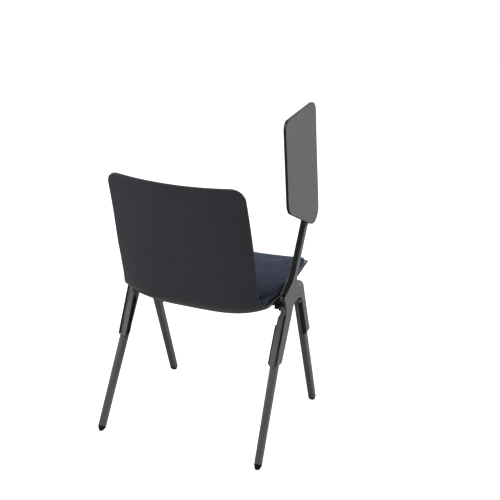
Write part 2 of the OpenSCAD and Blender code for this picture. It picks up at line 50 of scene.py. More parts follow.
SEAT_HEIGHT, BACK_HEIGHT, SEAT_WIDTH = 449.0, 799.0, 454.0
SHELL_THICK, PAD_THICK, PAD_INSET = 6.5, 9.0, 8.0
SEAT_SLOPE, SEAT_RUN = 9.8, 276.0
LIP_RADIUS, LIP_TURN, BEND_RADIUS = 70.0, 35.0, 66.0
BACK_LEAN, BACK_RADIUS, CREST_Y = 7.0, 1800.0, 204.0
TABLET_LEAN = 3.0
FRONT_CORNER, TOP_CORNER = 46.0, 35.0
SMOOTHING = 22.0  # mm over which the dish's changes are softened
PROFILE_MARGIN = 60.0  # mm that the lookups run on past both ends of the profile
PROFILE_SAMPLES = 1600
KERNEL_REACH = 60  # samples that the softening looks at on each side


def direction(degrees):
    """Unit vector at an angle in the side view, as (y, z)."""
    a = math.radians(degrees)
    return np.array([math.cos(a), math.sin(a)])


SEAT_DIR = direction(SEAT_SLOPE)
SEAT_UP = direction(90 + SEAT_SLOPE)
LIP_CENTRE = np.array([CREST_Y, SEAT_HEIGHT - LIP_RADIUS])
SEAT_FRONT = LIP_CENTRE + LIP_RADIUS * SEAT_UP
BEND_CENTRE = SEAT_FRONT - SEAT_RUN * SEAT_DIR + BEND_RADIUS * SEAT_UP
BACK_CENTRE = BEND_CENTRE - (BEND_RADIUS + BACK_RADIUS) * direction(BACK_LEAN)
BACK_TURN = math.asin((BACK_HEIGHT - BACK_CENTRE[1]) / BACK_RADIUS) - math.radians(BACK_LEAN)
LIP_LENGTH = LIP_RADIUS * math.radians(LIP_TURN + SEAT_SLOPE)
BEND_LENGTH = BEND_RADIUS * math.radians(90 + SEAT_SLOPE - BACK_LEAN)
BEND_AT = LIP_LENGTH + SEAT_RUN
BACK_AT = BEND_AT + BEND_LENGTH
SHELL_LENGTH = BACK_AT + BACK_RADIUS * BACK_TURN
SEAM_AT = BEND_AT + 0.3 * BEND_LENGTH

# Knots along the profile, as (distance from the front edge, value): how far the sides rise, the
# power that their rise follows across the shell, and the change of the half width
DISH = [(0, 10), (LIP_LENGTH, 14), (LIP_LENGTH + 100, 20), (BEND_AT - 60, 24.5), (BEND_AT, 36.5),
        (BEND_AT + 0.5 * BEND_LENGTH, 37.5), (BACK_AT, 37), (BACK_AT + 120, 25), (SHELL_LENGTH, 29)]
FULLNESS = [(LIP_LENGTH + 100, 2.2), (BEND_AT - 40, 2.3), (BEND_AT + 0.4 * BEND_LENGTH, 3.6),
            (BACK_AT, 3.6), (SHELL_LENGTH, 2.0)]
WIDTH = [(0, -13), (LIP_LENGTH + 40, -5), (LIP_LENGTH + 120, 0), (BEND_AT - 60, 0), (BEND_AT, -4),
         (BEND_AT + 0.5 * BEND_LENGTH, -8.5), (BACK_AT, -17), (BACK_AT + 150, -17),
         (SHELL_LENGTH, -22.5)]


def softened(knots):
    """Lookup through the knots with its corners smoothed out along the profile."""
    s = np.linspace(-PROFILE_MARGIN, SHELL_LENGTH + PROFILE_MARGIN, PROFILE_SAMPLES)
    raw = np.interp(s, [k[0] for k in knots], [k[1] for k in knots])
    step = s[1] - s[0]
    t = np.arange(-KERNEL_REACH, KERNEL_REACH + 1) * step
    weight = np.exp(-0.5 * (t / (SMOOTHING / 2)) ** 2)
    padded = np.pad(raw, KERNEL_REACH, mode="edge")
    smooth = np.convolve(padded, weight / weight.sum(), mode="valid")
    return lambda q: float(np.interp(q, s, smooth))


dish, fullness, width_change = softened(DISH), softened(FULLNESS), softened(WIDTH)


def station(s):
    """Point and normal of the profile at distance s from the front edge, as (y, z) pairs."""
    if s < LIP_LENGTH:
        n = direction(90 - LIP_TURN + math.degrees(s / LIP_RADIUS))
        return LIP_CENTRE + LIP_RADIUS * n, n
    if s < BEND_AT:
        return SEAT_FRONT - (s - LIP_LENGTH) * SEAT_DIR, SEAT_UP
    if s < BACK_AT:
        n = -direction(270 + SEAT_SLOPE - math.degrees((s - BEND_AT) / BEND_RADIUS))
        return BEND_CENTRE - BEND_RADIUS * n, n
    n = direction(BACK_LEAN + math.degrees((s - BACK_AT) / BACK_RADIUS))
    return BACK_CENTRE + BACK_RADIUS * n, n


def corner_cut(d, r):
    """How much a rounded corner of radius r takes off at distance d from the end."""
    return 0.0 if d >= r or r <= 0 else r - math.sqrt(max(0.0, r * r - (r - d) ** 2))


def surface_point(s, x, h):
    """Point of the shell surface at x on station s, lifted by h along the normal, in metres."""
    p, n = station(s)
    f = fullness(s)
    rise = dish(s) * (abs(x) * 2 / SEAT_WIDTH) ** f
    slope = 0.0 if abs(x) < 1e-9 else rise * f / x
    flat = math.sqrt(1 + slope * slope)
    lift = rise + h / flat
    return Vector((x - h * slope / flat, p[0] + n[0] * lift, p[1] + n[1] * lift)) * MM


def half_width(s):
    """Half the width of the shell at station s, in mm."""
    return SEAT_WIDTH / 2 + width_change(s)


# ---- Mesh helpers ----

CORNER_ROWS = 9  # rows of a strip inside each rounded corner


def new_object(name, mesh):
    """Object with the mesh, put in the scene."""
    obj = bpy.data.objects.new(name, mesh)
    bpy.context.scene.collection.objects.link(obj)
    return obj


def mesh_from_bmesh(name, bm, smooth=True):
    """Mesh made from the bmesh, which is freed, with its normals facing out."""
    bmesh.ops.recalc_face_normals(bm, faces=bm.faces)
    mesh = bpy.data.meshes.new(name)
    bm.to_mesh(mesh)
    bm.free()
    mesh.polygons.foreach_set("use_smooth", [smooth] * len(mesh.polygons))
    return mesh


def eased(n, ends):
    """n + 1 numbers from 0 to 1 that crowd towards both ends."""
    t = np.linspace(0, 1, n + 1)
    return (1 - ends) * t + ends * (0.5 - 0.5 * np.cos(np.pi * t))


def grid_stations(s0, s1, r0, r1, step):
    """Distances of the rows of a strip, closer together where the corners are rounded."""
    corner = [1 - math.cos(math.pi / 2 * i / CORNER_ROWS) for i in range(CORNER_ROWS)]
    rows = []
    if r0 > 0:
        rows += [s0 + r0 * c for c in corner]
    n = max(4, int((s1 - r1 - s0 - r0) / step))
    rows += list(np.linspace(s0 + r0, s1 - r1, n + 1))
    if r1 > 0:
        rows += [s1 - r1 * c for c in reversed(corner)]
    return rows


def skin(bm, grid):
    """Faces over a grid of vertices."""
    for line, after in zip(grid, grid[1:]):
        for j in range(len(line) - 1):
            bm.faces.new((line[j], line[j + 1], after[j + 1], after[j]))


def border(rows, cols):
    """Row and column numbers of a grid's border vertices, once round."""
    last_r, last_c = rows - 1, cols - 1
    return ([(0, j) for j in range(last_c)] + [(i, last_c) for i in range(last_r)]
            + [(last_r, j) for j in range(last_c, 0, -1)] + [(i, 0) for i in range(last_r, 0, -1)])


# ---- Moulded shell ----

RIM_CORNER = 1.5  # radius of the rim's two corners
RIM_DEPTH = 0.4 * SHELL_THICK  # width of the rim outside the shell's two faces
RIM_PROUD = 1.2  # how far the rim stands outside the CAD solid's edge
RIM_STEPS = 6  # points of each rim corner
SHELL_ROW_STEP = 9
SHELL_COLUMNS = 56
EDGE_CROWDING = 0.35  # how much closer the columns stand at the sides than in the middle


def rim_profile():
    """Flat rim with rounded corners, as (outward, height) from the top edge down."""
    corner = [(RIM_DEPTH - RIM_CORNER * (1 - math.sin(a)), RIM_CORNER * (math.cos(a) - 1))
              for a in np.linspace(0, math.pi / 2, RIM_STEPS)]
    lower = [(x, -SHELL_THICK - h) for x, h in reversed(corner)]
    return corner + lower


def build_shell():
    """Shell of even thickness with a rounded rim all round."""
    rows = grid_stations(0, SHELL_LENGTH, FRONT_CORNER, TOP_CORNER, SHELL_ROW_STEP)
    cols = 2 * eased(SHELL_COLUMNS, EDGE_CROWDING) - 1
    inset = RIM_DEPTH - RIM_PROUD
    bm = bmesh.new()

    def layer(h):
        grid = []
        for s in rows:
            cut = max(corner_cut(s, FRONT_CORNER), corner_cut(SHELL_LENGTH - s, TOP_CORNER))
            w = half_width(s) - inset - cut
            grid.append([bm.verts.new(surface_point(s, w * c, h)) for c in cols])
        return grid

    top, low = layer(0.0), layer(-SHELL_THICK)
    skin(bm, top)
    skin(bm, low)
    ring = border(len(rows), len(cols))
    loops = [[top[i][j] for i, j in ring]]
    count = len(ring)
    outline = [top[i][j].co.copy() for i, j in ring]
    under = [low[i][j].co.copy() for i, j in ring]
    for out, h in rim_profile():
        loop = []
        for k in range(count):
            down = (under[k] - outline[k]).normalized()
            along = (outline[(k + 1) % count] - outline[k - 1]).normalized()
            away = along.cross(down).normalized()
            if away.dot(outline[k] - outline[(k + count // 2) % count]) < 0:
                away = -away
            loop.append(bm.verts.new(outline[k] + away * out * MM - down * h * MM))
        loops.append(loop)
    loops.append([low[i][j] for i, j in ring])
    for a, b in zip(loops, loops[1:]):
        for k in range(count):
            n = (k + 1) % count
            bm.faces.new((a[k], a[n], b[n], b[k]))
    return new_object("moulded_shell", mesh_from_bmesh("moulded_shell", bm))


# ---- Upholstery ----

SEAM_GAP = 0.3  # from the seam's middle to the border of each cover
PAD_FLOOR = 0.9  # gap between the shell and a pad's underside
PAD_ROLL = 7.0  # distance over which a pad rounds over at its border
PAD_HEM = 0.6  # thickness at the very border
SWELL_ROOM = 2.4  # height that is left for the cloth to swell into
PAD_ROW_STEP = 6.0
PAD_COLUMNS = 64
HEM_ROWS = (1.2, 3.0)  # distances of the extra rows beside the seam
HEM_COLUMNS = (1.0, 2.8)  # distances of the extra columns beside the sides

CLOTH_FRAMES = 20
PRESSURE = 4.0
SWELL_CAP = 5 * MM  # farthest that a point of the fabric may move
SINK = 0.8 * MM  # how far the foam lets the fabric sink in where tension pulls it tight

CORD_RADIUS, CORD_HEIGHT = 1.5, 3.4
THREAD_RADIUS = 0.36
STITCH_PITCH, STITCH_LENGTH, STITCH_LEAN = 4.2, 3.0, 0.18
STITCH_ROW = 6.5  # distance of each row of topstitching from the seam
STITCH_ARCH = ((0.0, -0.25), (0.25, 0.2), (0.5, 0.32), (0.75, 0.2), (1.0, -0.25))


def pad_height(d, full, roll):
    """Height of the foam at distance d from the pad's border: it rolls over within roll."""
    if d >= roll:
        return full
    return full * math.sqrt(max(0.0, 1 - (1 - d / roll) ** 2))


def build_pad(name, s0, s1, r0, r1):
    """Closed pad with its border on the shell; returns the object and its free top vertices."""
    full = PAD_THICK - SWELL_ROOM
    extra = [s0 + d for d in HEM_ROWS] if r0 == 0 else [s1 - d for d in HEM_ROWS]
    rows = sorted(grid_stations(s0, s1, r0, r1, PAD_ROW_STEP) + extra)
    inner = np.linspace(-1, 1, PAD_COLUMNS + 1)
    bm = bmesh.new()
    uv = bm.loops.layers.uv.new("metres")
    place = {}

    def layer(top):
        grid = []
        for s in rows:
            cut = max(corner_cut(s - s0, r0), corner_cut(s1 - s, r1))
            w = half_width(s) - PAD_INSET - cut
            edge = [1 - d / w for d in HEM_COLUMNS]
            cols = sorted(list(inner) + edge + [-e for e in edge])
            line = []
            for c in cols:
                x = w * c
                d = min(w - abs(x), s - s0, s1 - s)
                h = PAD_FLOOR
                if top:
                    h += PAD_HEM if d <= 1e-6 else pad_height(d, full, PAD_ROLL)
                v = bm.verts.new(surface_point(s, x, h))
                place[v] = (x * MM, s * MM)
                line.append(v)
            grid.append(line)
        return grid

    top, low = layer(True), layer(False)
    skin(bm, top)
    skin(bm, low)
    ring = border(len(rows), len(top[0]))
    for (i, j), (m, n) in zip(ring, ring[1:] + ring[:1]):
        bm.faces.new((top[i][j], top[m][n], low[m][n], low[i][j]))
    for f in bm.faces:
        for corner in f.loops:
            corner[uv].uv = place[corner.vert]
    bm.verts.index_update()
    free = {v.index for line in top[1:-1] for v in line[1:-1]}
    return new_object(name, mesh_from_bmesh(name, bm)), free


def inflate(obj, free):
    """Swells the fabric by cloth simulation with its border sewn down, then applies the result."""
    mesh = obj.data
    rest = [v.co.copy() for v in mesh.vertices]
    outward = [v.normal.copy() for v in mesh.vertices]
    held = obj.vertex_groups.new(name="held")
    held.add([v.index for v in mesh.vertices if v.index not in free], 1.0, "REPLACE")
    mod = obj.modifiers.new("cloth", "CLOTH")
    c = mod.settings
    c.quality = 6
    c.mass = 0.3
    c.tension_stiffness = c.compression_stiffness = 18
    c.shear_stiffness = 6
    c.bending_stiffness = 0.6
    c.vertex_group_mass = "held"
    c.pin_stiffness = 1
    c.shrink_min = -0.012
    c.use_pressure = True
    c.uniform_pressure_force = PRESSURE
    c.effector_weights.gravity = 0
    mod.collision_settings.use_collision = False
    mod.point_cache.frame_start, mod.point_cache.frame_end = 1, CLOTH_FRAMES
    scene = bpy.context.scene
    for frame_number in range(1, CLOTH_FRAMES + 1):
        scene.frame_set(frame_number)
    simulated = obj.evaluated_get(bpy.context.evaluated_depsgraph_get())
    moved = [v.co.copy() for v in simulated.to_mesh().vertices]
    simulated.to_mesh_clear()
    obj.modifiers.remove(mod)
    for v, a, b, n in zip(mesh.vertices, rest, moved, outward):
        step = b - a
        step -= n * min(0.0, step.dot(n) + SINK)
        v.co = a + step.normalized() * min(step.length, SWELL_CAP) if step.length > 0 else a
    obj.vertex_groups.clear()
    scene.frame_set(1)


def subdivide(obj):
    """One level of subdivision, so that the fabric shows no facets."""
    mod = obj.modifiers.new("finer", "SUBSURF")
    mod.levels = mod.render_levels = 1


def build_covers():
    """Covers of the seat and of the back, which meet at the cross seam."""
    seat, seat_free = build_pad("seat_cover", PAD_INSET, SEAM_AT - SEAM_GAP,
                                FRONT_CORNER - PAD_INSET, 0)
    back, back_free = build_pad("back_cover", SEAM_AT + SEAM_GAP, SHELL_LENGTH - PAD_INSET,
                                0, TOP_CORNER - PAD_INSET)
    inflate(seat, seat_free)
    inflate(back, back_free)
    return seat, back


def tree_of(*objs):
    """Search tree over the meshes, for laying thread on them."""
    verts, faces = [], []
    for o in objs:
        base = len(verts)
        verts += [v.co.copy() for v in o.data.vertices]
        faces += [[base + i for i in p.vertices] for p in o.data.polygons]
    return BVHTree.FromPolygons(verts, faces)


def lay_on(tree, s, x, over):
    """Point of the covers above station s at x, lifted by over millimetres, and its normal."""
    low, high = surface_point(s, x, 0), surface_point(s, x, 30)
    ray = (low - high).normalized()
    hit, normal, _, _ = tree.ray_cast(high, ray)
    if hit is None:
        return surface_point(s, x, PAD_THICK), -ray
    if normal.dot(ray) > 0:
        normal = -normal
    return hit + normal * over * MM, normal


def add_tube(bm, points, normals, radius, sides=6):
    """Closed tube through the points, with pinched ends."""
    rings = []
    last = len(points) - 1
    for i, (p, n) in enumerate(zip(points, normals)):
        along = (points[min(i + 1, last)] - points[max(i - 1, 0)]).normalized()
        side = along.cross(n).normalized()
        r = radius * (0.45 if i in (0, last) else 1.0)
        rings.append([bm.verts.new(p + (side * math.cos(a) + n * math.sin(a)) * r)
                      for a in [2 * math.pi * k / sides for k in range(sides)]])
    for a, b in zip(rings, rings[1:]):
        for k in range(sides):
            m = (k + 1) % sides
            bm.faces.new((a[k], a[m], b[m], b[k]))
    bm.faces.new(rings[0])
    bm.faces.new(list(reversed(rings[-1])))


def build_seam_cord():
    """Cord that closes the valley between the two covers."""
    bm = bmesh.new()
    w = half_width(SEAM_AT) - PAD_INSET - 1.5
    points, normals = [], []
    for x in np.linspace(-w, w, 90):
        middle = surface_point(SEAM_AT, x, CORD_HEIGHT)
        above = surface_point(SEAM_AT, x, CORD_HEIGHT + 1)
        points.append(middle)
        normals.append((above - middle).normalized())
    add_tube(bm, points, normals, CORD_RADIUS * MM, 10)
    return new_object("seam_cord", mesh_from_bmesh("seam_cord", bm))


def build_stitches(tree, name, offset):
    """Row of topstitching at a distance from the seam, each stitch a short raised thread."""
    bm = bmesh.new()
    s = SEAM_AT + offset
    w = half_width(s) - PAD_INSET - 7
    for k in range(int(2 * w / STITCH_PITCH)):
        x0 = -w + (k + 0.15) * STITCH_PITCH
        lean = RNG.uniform(-STITCH_LEAN, STITCH_LEAN)
        points, normals = [], []
        for t, over in STITCH_ARCH:
            p, n = lay_on(tree, s + lean * (t - 0.5) * 2, x0 + STITCH_LENGTH * t, over)
            points.append(p)
            normals.append(n)
        add_tube(bm, points, normals, THREAD_RADIUS * MM)
    return new_object(name, mesh_from_bmesh(name, bm))


# ---- Materials ----

RAY_SAMPLES = 6  # rays of each bevel and occlusion node
CREVICE_SHADE = 0.03  # reach of the painted shade in crevices of hard surfaces, in metres
FABRIC_SHADOW = 0.16  # reach of the darkening in the upholstery's hollow, in metres


class Nodes:
    """Short hand for a material's node tree."""

    def __init__(self, name):
        self.mat = bpy.data.materials.new(name)
        self.mat.use_nodes = True
        self.tree = self.mat.node_tree
        self.tree.nodes.clear()
        self.out = self.tree.nodes.new("ShaderNodeOutputMaterial")
        self.bsdf = self.tree.nodes.new("ShaderNodeBsdfPrincipled")
        self.link(self.bsdf.outputs[0], self.out.inputs[0])

    def add(self, kind, **props):
        """New node of the kind, with its properties set."""
        node = self.tree.nodes.new(kind)
        for key, value in props.items():
            setattr(node, key, value)
        return node

    def link(self, a, b):
        """Wire from output a to input b."""
        self.tree.links.new(a, b)

    def feed(self, socket, value):
        """Gives an input a wire or a fixed value."""
        if isinstance(value, bpy.types.NodeSocket):
            self.link(value, socket)
        else:
            socket.default_value = value

    def math(self, op, a, b=0.0):
        """Result of a sum or function of one or two values."""
        node = self.add("ShaderNodeMath", operation=op)
        for socket, value in zip(node.inputs, (a, b)):
            self.feed(socket, value)
        return node.outputs[0]

    def ranged(self, value, low, high, to_low, to_high):
        """The value carried from the range low..high to to_low..to_high, and held at its ends."""
        node = self.add("ShaderNodeMapRange")
        for socket, v in zip(node.inputs, (value, low, high, to_low, to_high)):
            self.feed(socket, v)
        return node.outputs[0]

    def mix(self, factor, a, b):
        """Colour a at factor 0 and colour b at factor 1."""
        node = self.add("ShaderNodeMix", data_type="RGBA")
        self.feed(node.inputs["Factor"], factor)
        colours = [s for s in node.inputs if s.type == "RGBA"]
        self.feed(colours[0], a)
        self.feed(colours[1], b)
        return [s for s in node.outputs if s.type == "RGBA"][0]

    def noise(self, vector, scale, detail=2.0, rough=0.5):
        """Cloudy pattern from 0 to 1, with about scale patches to the metre."""
        node = self.add("ShaderNodeTexNoise")
        self.feed(node.inputs["Vector"], vector)
        node.inputs["Scale"].default_value = scale
        node.inputs["Detail"].default_value = detail
        node.inputs["Roughness"].default_value = rough
        return node.outputs["Fac"]

    def bump(self, height, strength, distance, normal=None):
        """Normal of a relief, laid over another normal if one is given."""
        node = self.add("ShaderNodeBump")
        node.inputs["Strength"].default_value = strength
        node.inputs["Distance"].default_value = distance
        self.feed(node.inputs["Height"], height)
        if normal is not None:
            self.link(normal, node.inputs["Normal"])
        return node.outputs[0]

    def bevel(self, radius):
        """Normal that rounds the object's edges to the radius."""
        node = self.add("ShaderNodeBevel", samples=RAY_SAMPLES)
        node.inputs["Radius"].default_value = radius
        return node.outputs[0]

    def occlusion(self, reach):
        """1 where the surface is open and less in crevices up to reach across."""
        node = self.add("ShaderNodeAmbientOcclusion", samples=RAY_SAMPLES)
        node.inputs["Distance"].default_value = reach
        return node.outputs["AO"]

    def edges(self, bevelled):
        """1 on the object's sharp edges and 0 on its faces."""
        geometry = self.add("ShaderNodeNewGeometry")
        dot = self.add("ShaderNodeVectorMath", operation="DOT_PRODUCT")
        self.link(bevelled, dot.inputs[0])
        self.link(geometry.outputs["Normal"], dot.inputs[1])
        return self.ranged(dot.outputs["Value"], 0.995, 0.90, 0.0, 1.0)


def srgb(text):
    """Linear colour from a hexadecimal sRGB one."""
    channels = [int(text[i:i + 2], 16) / 255 for i in (0, 2, 4)]
    return tuple(c / 12.92 if c <= 0.04045 else ((c + 0.055) / 1.055) ** 2.4
                 for c in channels) + (1.0,)


def shade(colour, factor):
    """The colour made lighter or darker by the factor."""
    return tuple(min(1.0, c * factor) for c in colour[:3]) + (1.0,)


def coating(name, colour, rough, grain=900.0, grain_depth=0.00006, spread=0.10, metal=0.0,
            wear=0.0, wear_colour=None, edge=0.0010, specular=0.5):
    """Painted, moulded or plated surface with grain, uneven gloss, softened, worn edges and painted
    shade in its crevices.
    """
    n = Nodes(name)
    place = n.add("ShaderNodeTexCoord").outputs["Object"]
    broad = n.noise(place, 14.0, 3.0)
    fine = n.noise(place, grain, 2.0, 0.6)
    specks = n.noise(place, 260.0, 4.0, 0.7)
    tint = n.mix(n.ranged(broad, 0.35, 0.65, 0.0, 1.0), shade(colour, 1 - spread),
                 shade(colour, 1 + spread))
    tint = n.mix(n.ranged(specks, 0.45, 0.75, 0.0, 0.25), tint, shade(colour, 0.8))
    # Painted shade: the colour goes nearly black where occlusion finds crevices and recesses.
    tint = n.mix(n.ranged(n.occlusion(CREVICE_SHADE), 0.3, 0.85, 0.9, 0.0), tint, shade(colour, 0.12))
    bevelled = n.bevel(edge)
    if wear > 0:
        worn = n.math("MULTIPLY", n.edges(bevelled), n.ranged(specks, 0.42, 0.62, 0.15, wear))
        tint = n.mix(worn, tint, wear_colour or shade(colour, 1.9))
    n.feed(n.bsdf.inputs["Base Color"], tint)
    n.feed(n.bsdf.inputs["Roughness"],
           n.ranged(n.noise(place, 38.0, 3.0), 0.3, 0.7, rough - 0.05, rough + 0.05))
    n.bsdf.inputs["Metallic"].default_value = metal
    n.bsdf.inputs["Specular IOR Level"].default_value = specular
    n.link(n.bump(fine, 0.35, grain_depth, bevelled), n.bsdf.inputs["Normal"])
    n.mat.diffuse_color = colour
    return n.mat


def laminate(name, face, core):
    """Matt laminate board that leans at rest: grey faces and a black edge."""
    n = Nodes(name)
    coords = n.add("ShaderNodeTexCoord")
    place = coords.outputs["Object"]
    lean = math.radians(TABLET_LEAN)
    dot = n.add("ShaderNodeVectorMath", operation="DOT_PRODUCT")
    n.link(coords.outputs["Normal"], dot.inputs[0])
    dot.inputs[1].default_value = (math.cos(lean), 0, math.sin(lean))
    on_face = n.ranged(n.math("ABSOLUTE", dot.outputs["Value"]), 0.80, 0.86, 0.0, 1.0)
    broad = n.noise(place, 6.0, 2.0)
    specks = n.noise(place, 700.0, 3.0, 0.7)
    tint = n.mix(n.ranged(broad, 0.3, 0.7, 0, 1), shade(face, 0.94), shade(face, 1.06))
    tint = n.mix(n.ranged(specks, 0.5, 0.8, 0, 0.2), tint, shade(face, 0.7))
    n.feed(n.bsdf.inputs["Base Color"], n.mix(on_face, core, tint))
    n.feed(n.bsdf.inputs["Roughness"], n.ranged(n.noise(place, 30.0, 3.0), 0.3, 0.7, 0.46, 0.56))
    n.link(n.bump(n.noise(place, 1500.0, 2.0), 0.3, 0.00005, n.bevel(0.0008)),
           n.bsdf.inputs["Normal"])
    n.mat.diffuse_color = face
    return n.mat


def woven(name, dark, light, pitch=1.5 * MM):
    """Melange plain weave: two thread directions over and under, threads of uneven colour."""
    n = Nodes(name)
    coords = n.add("ShaderNodeTexCoord")
    place = coords.outputs["Object"]
    split = n.add("ShaderNodeSeparateXYZ")
    n.link(coords.outputs["UV"], split.inputs[0])
    wander = n.noise(place, 160.0, 2.0)
    drift = n.math("MULTIPLY", wander, 0.35)
    u = n.math("ADD", n.math("DIVIDE", split.outputs[0], pitch), drift)
    v = n.math("ADD", n.math("DIVIDE", split.outputs[1], pitch), drift)
    a = n.math("SINE", n.math("MULTIPLY", u, math.pi))
    b = n.math("SINE", n.math("MULTIPLY", v, math.pi))
    over = n.math("GREATER_THAN", n.math("MULTIPLY", a, b), 0.0)
    under = n.math("SUBTRACT", 1.0, over)
    height = n.math("ADD", n.math("MULTIPLY", over, n.math("ABSOLUTE", a)),
                    n.math("MULTIPLY", under, n.math("ABSOLUTE", b)))

    def thread_tone(line, along):
        """Shade of the thread with this number, changing slowly along it."""
        cell = n.add("ShaderNodeCombineXYZ")
        n.link(n.math("FLOOR", line), cell.inputs[0])
        n.link(n.math("MULTIPLY", along, 0.13), cell.inputs[1])
        return n.noise(cell.outputs[0], 1.7, 3.0, 0.7)

    tone = n.math("ADD", n.math("MULTIPLY", over, thread_tone(v, u)),
                  n.math("MULTIPLY", under, thread_tone(u, v)))
    tint = n.mix(n.ranged(tone, 0.36, 0.64, 0.0, 1.0), dark, light)
    # Painted shade: darker where a thread dips under the other one.
    tint = n.mix(n.ranged(height, 0.0, 0.7, 0.55, 0.0), tint, shade(dark, 0.35))
    mottle = n.noise(place, 130.0, 4.0, 0.7)
    tint = n.mix(n.ranged(mottle, 0.42, 0.58, 0.0, 0.6), tint, shade(dark, 0.7))
    broad = n.noise(place, 11.0, 3.0)
    tint = n.mix(n.ranged(broad, 0.35, 0.7, 0.0, 0.35), tint, shade(dark, 0.8))
    hollow = n.ranged(n.occlusion(FABRIC_SHADOW), 0.45, 0.97, 0.85, 0.0)
    tint = n.mix(hollow, tint, shade(dark, 0.2))
    fuzz = n.noise(place, 2600.0, 2.0, 0.7)
    n.feed(n.bsdf.inputs["Base Color"], tint)
    n.feed(n.bsdf.inputs["Roughness"], n.ranged(fuzz, 0.3, 0.7, 0.82, 0.95))
    n.bsdf.inputs["Specular IOR Level"].default_value = 0.25
    n.bsdf.inputs["Sheen Weight"].default_value = 0.35
    n.bsdf.inputs["Sheen Roughness"].default_value = 0.45
    n.bsdf.inputs["Sheen Tint"].default_value = shade(light, 3.0)
    first = n.bump(fuzz, 0.25, 0.00012)
    n.link(n.bump(height, 0.7, 0.00035, first), n.bsdf.inputs["Normal"])
    n.mat.diffuse_color = light
    return n.mat


def twisted(name, colour):
    """Sewing thread or cord, with its twist."""
    n = Nodes(name)
    place = n.add("ShaderNodeTexCoord").outputs["Object"]
    wave = n.add("ShaderNodeTexWave", wave_type="BANDS", bands_direction="DIAGONAL")
    n.link(place, wave.inputs["Vector"])
    wave.inputs["Scale"].default_value = 420.0
    wave.inputs["Distortion"].default_value = 1.5
    fuzz = n.noise(place, 2200.0, 2.0)
    tint = n.mix(wave.outputs["Fac"], shade(colour, 0.7), shade(colour, 1.25))
    n.feed(n.bsdf.inputs["Base Color"], tint)
    n.feed(n.bsdf.inputs["Roughness"], n.ranged(fuzz, 0.3, 0.7, 0.7, 0.85))
    n.bsdf.inputs["Sheen Weight"].default_value = 0.3
    n.link(n.bump(wave.outputs["Fac"], 0.5, 0.00012), n.bsdf.inputs["Normal"])
    n.mat.diffuse_color = colour
    return n.mat


def paint(obj, material):
    """Gives the object this material alone."""
    obj.data.materials.clear()
    obj.data.materials.append(material)


SMOOTH_ANGLE = 32  # degrees between faces up to which an edge is shaded smooth


def smooth_group(angle):
    """Modifier tree that shades smooth across every edge flatter than the angle."""
    tree = bpy.data.node_groups.new("smooth_by_angle", "GeometryNodeTree")
    tree.interface.new_socket("Geometry", in_out="INPUT", socket_type="NodeSocketGeometry")
    tree.interface.new_socket("Geometry", in_out="OUTPUT", socket_type="NodeSocketGeometry")
    start, end = tree.nodes.new("NodeGroupInput"), tree.nodes.new("NodeGroupOutput")
    merge = tree.nodes.new("GeometryNodeMergeByDistance")
    merge.inputs["Distance"].default_value = 0.01 * MM
    faces = tree.nodes.new("GeometryNodeSetShadeSmooth")
    faces.domain = "FACE"
    edges = tree.nodes.new("GeometryNodeSetShadeSmooth")
    edges.domain = "EDGE"
    angle_node = tree.nodes.new("GeometryNodeInputMeshEdgeAngle")
    flat = tree.nodes.new("FunctionNodeCompare")
    flat.data_type, flat.operation = "FLOAT", "LESS_EQUAL"
    flat.inputs[1].default_value = math.radians(angle)
    tree.links.new(start.outputs[0], merge.inputs["Geometry"])
    tree.links.new(merge.outputs[0], faces.inputs["Geometry"])
    tree.links.new(faces.outputs[0], edges.inputs["Geometry"])
    tree.links.new(angle_node.outputs["Unsigned Angle"], flat.inputs[0])
    tree.links.new(flat.outputs[0], edges.inputs["Shade Smooth"])
    tree.links.new(edges.outputs[0], end.inputs[0])
    return tree


# ---- Build ----

BLACK = srgb("1a1a1c")
MATERIALS = {
    "shell_plastic": coating("shell_plastic", srgb("25262e"), 0.40, 1500.0, 0.00005, 0.05,
                             edge=0.0015),
    "black_rubber": coating("black_rubber", srgb("0c0c0d"), 0.8, 700.0, 0.0001, 0.1,
                            specular=0.2),
    "dark_steel": coating("dark_steel", srgb("3a3a3d"), 0.35, 1200.0, 0.00003, 0.1, metal=0.9,
                          wear=0.6, wear_colour=srgb("8c8c8f"), edge=0.0003),
    "powder_coat": coating("powder_coat", srgb("5a5a59"), 0.44, 1100.0, 0.00007, 0.05,
                           wear=0.35, edge=0.0022),
    "leg_coat": coating("leg_coat", srgb("525256"), 0.36, 1100.0, 0.00006, 0.05,
                        wear=0.3, edge=0.0014),
    "glide_plastic": coating("glide_plastic", srgb("101012"), 0.72, 900.0, 0.00008, 0.12,
                             wear=0.3, wear_colour=srgb("343436"), edge=0.0008, specular=0.25),
    "plug_plastic": coating("plug_plastic", srgb("b4b4b6"), 0.4, 900.0, 0.00006, 0.08, edge=0.0006),
    "bar_coat": coating("bar_coat", BLACK, 0.5, 1100.0, 0.00007, 0.08, wear=0.4,
                        wear_colour=srgb("4c4c4e"), edge=0.0010),
    "tablet_laminate": laminate("tablet_laminate", srgb("5a5a58"), srgb("141415")),
    "insert_brass": coating("insert_brass", srgb("b08d45"), 0.3, 1500.0, 0.00003, 0.1, metal=1.0,
                            edge=0.0003),
    "pin_steel": coating("pin_steel", srgb("8d8f92"), 0.24, 1800.0, 0.00002, 0.06, metal=1.0,
                         wear=0.4, edge=0.0004),
    "bush_plastic": coating("bush_plastic", srgb("d2d2cc"), 0.5, 900.0, 0.00004, 0.05,
                            edge=0.0004),
}
FABRIC = woven("upholstery", srgb("242936"), srgb("484f63"))

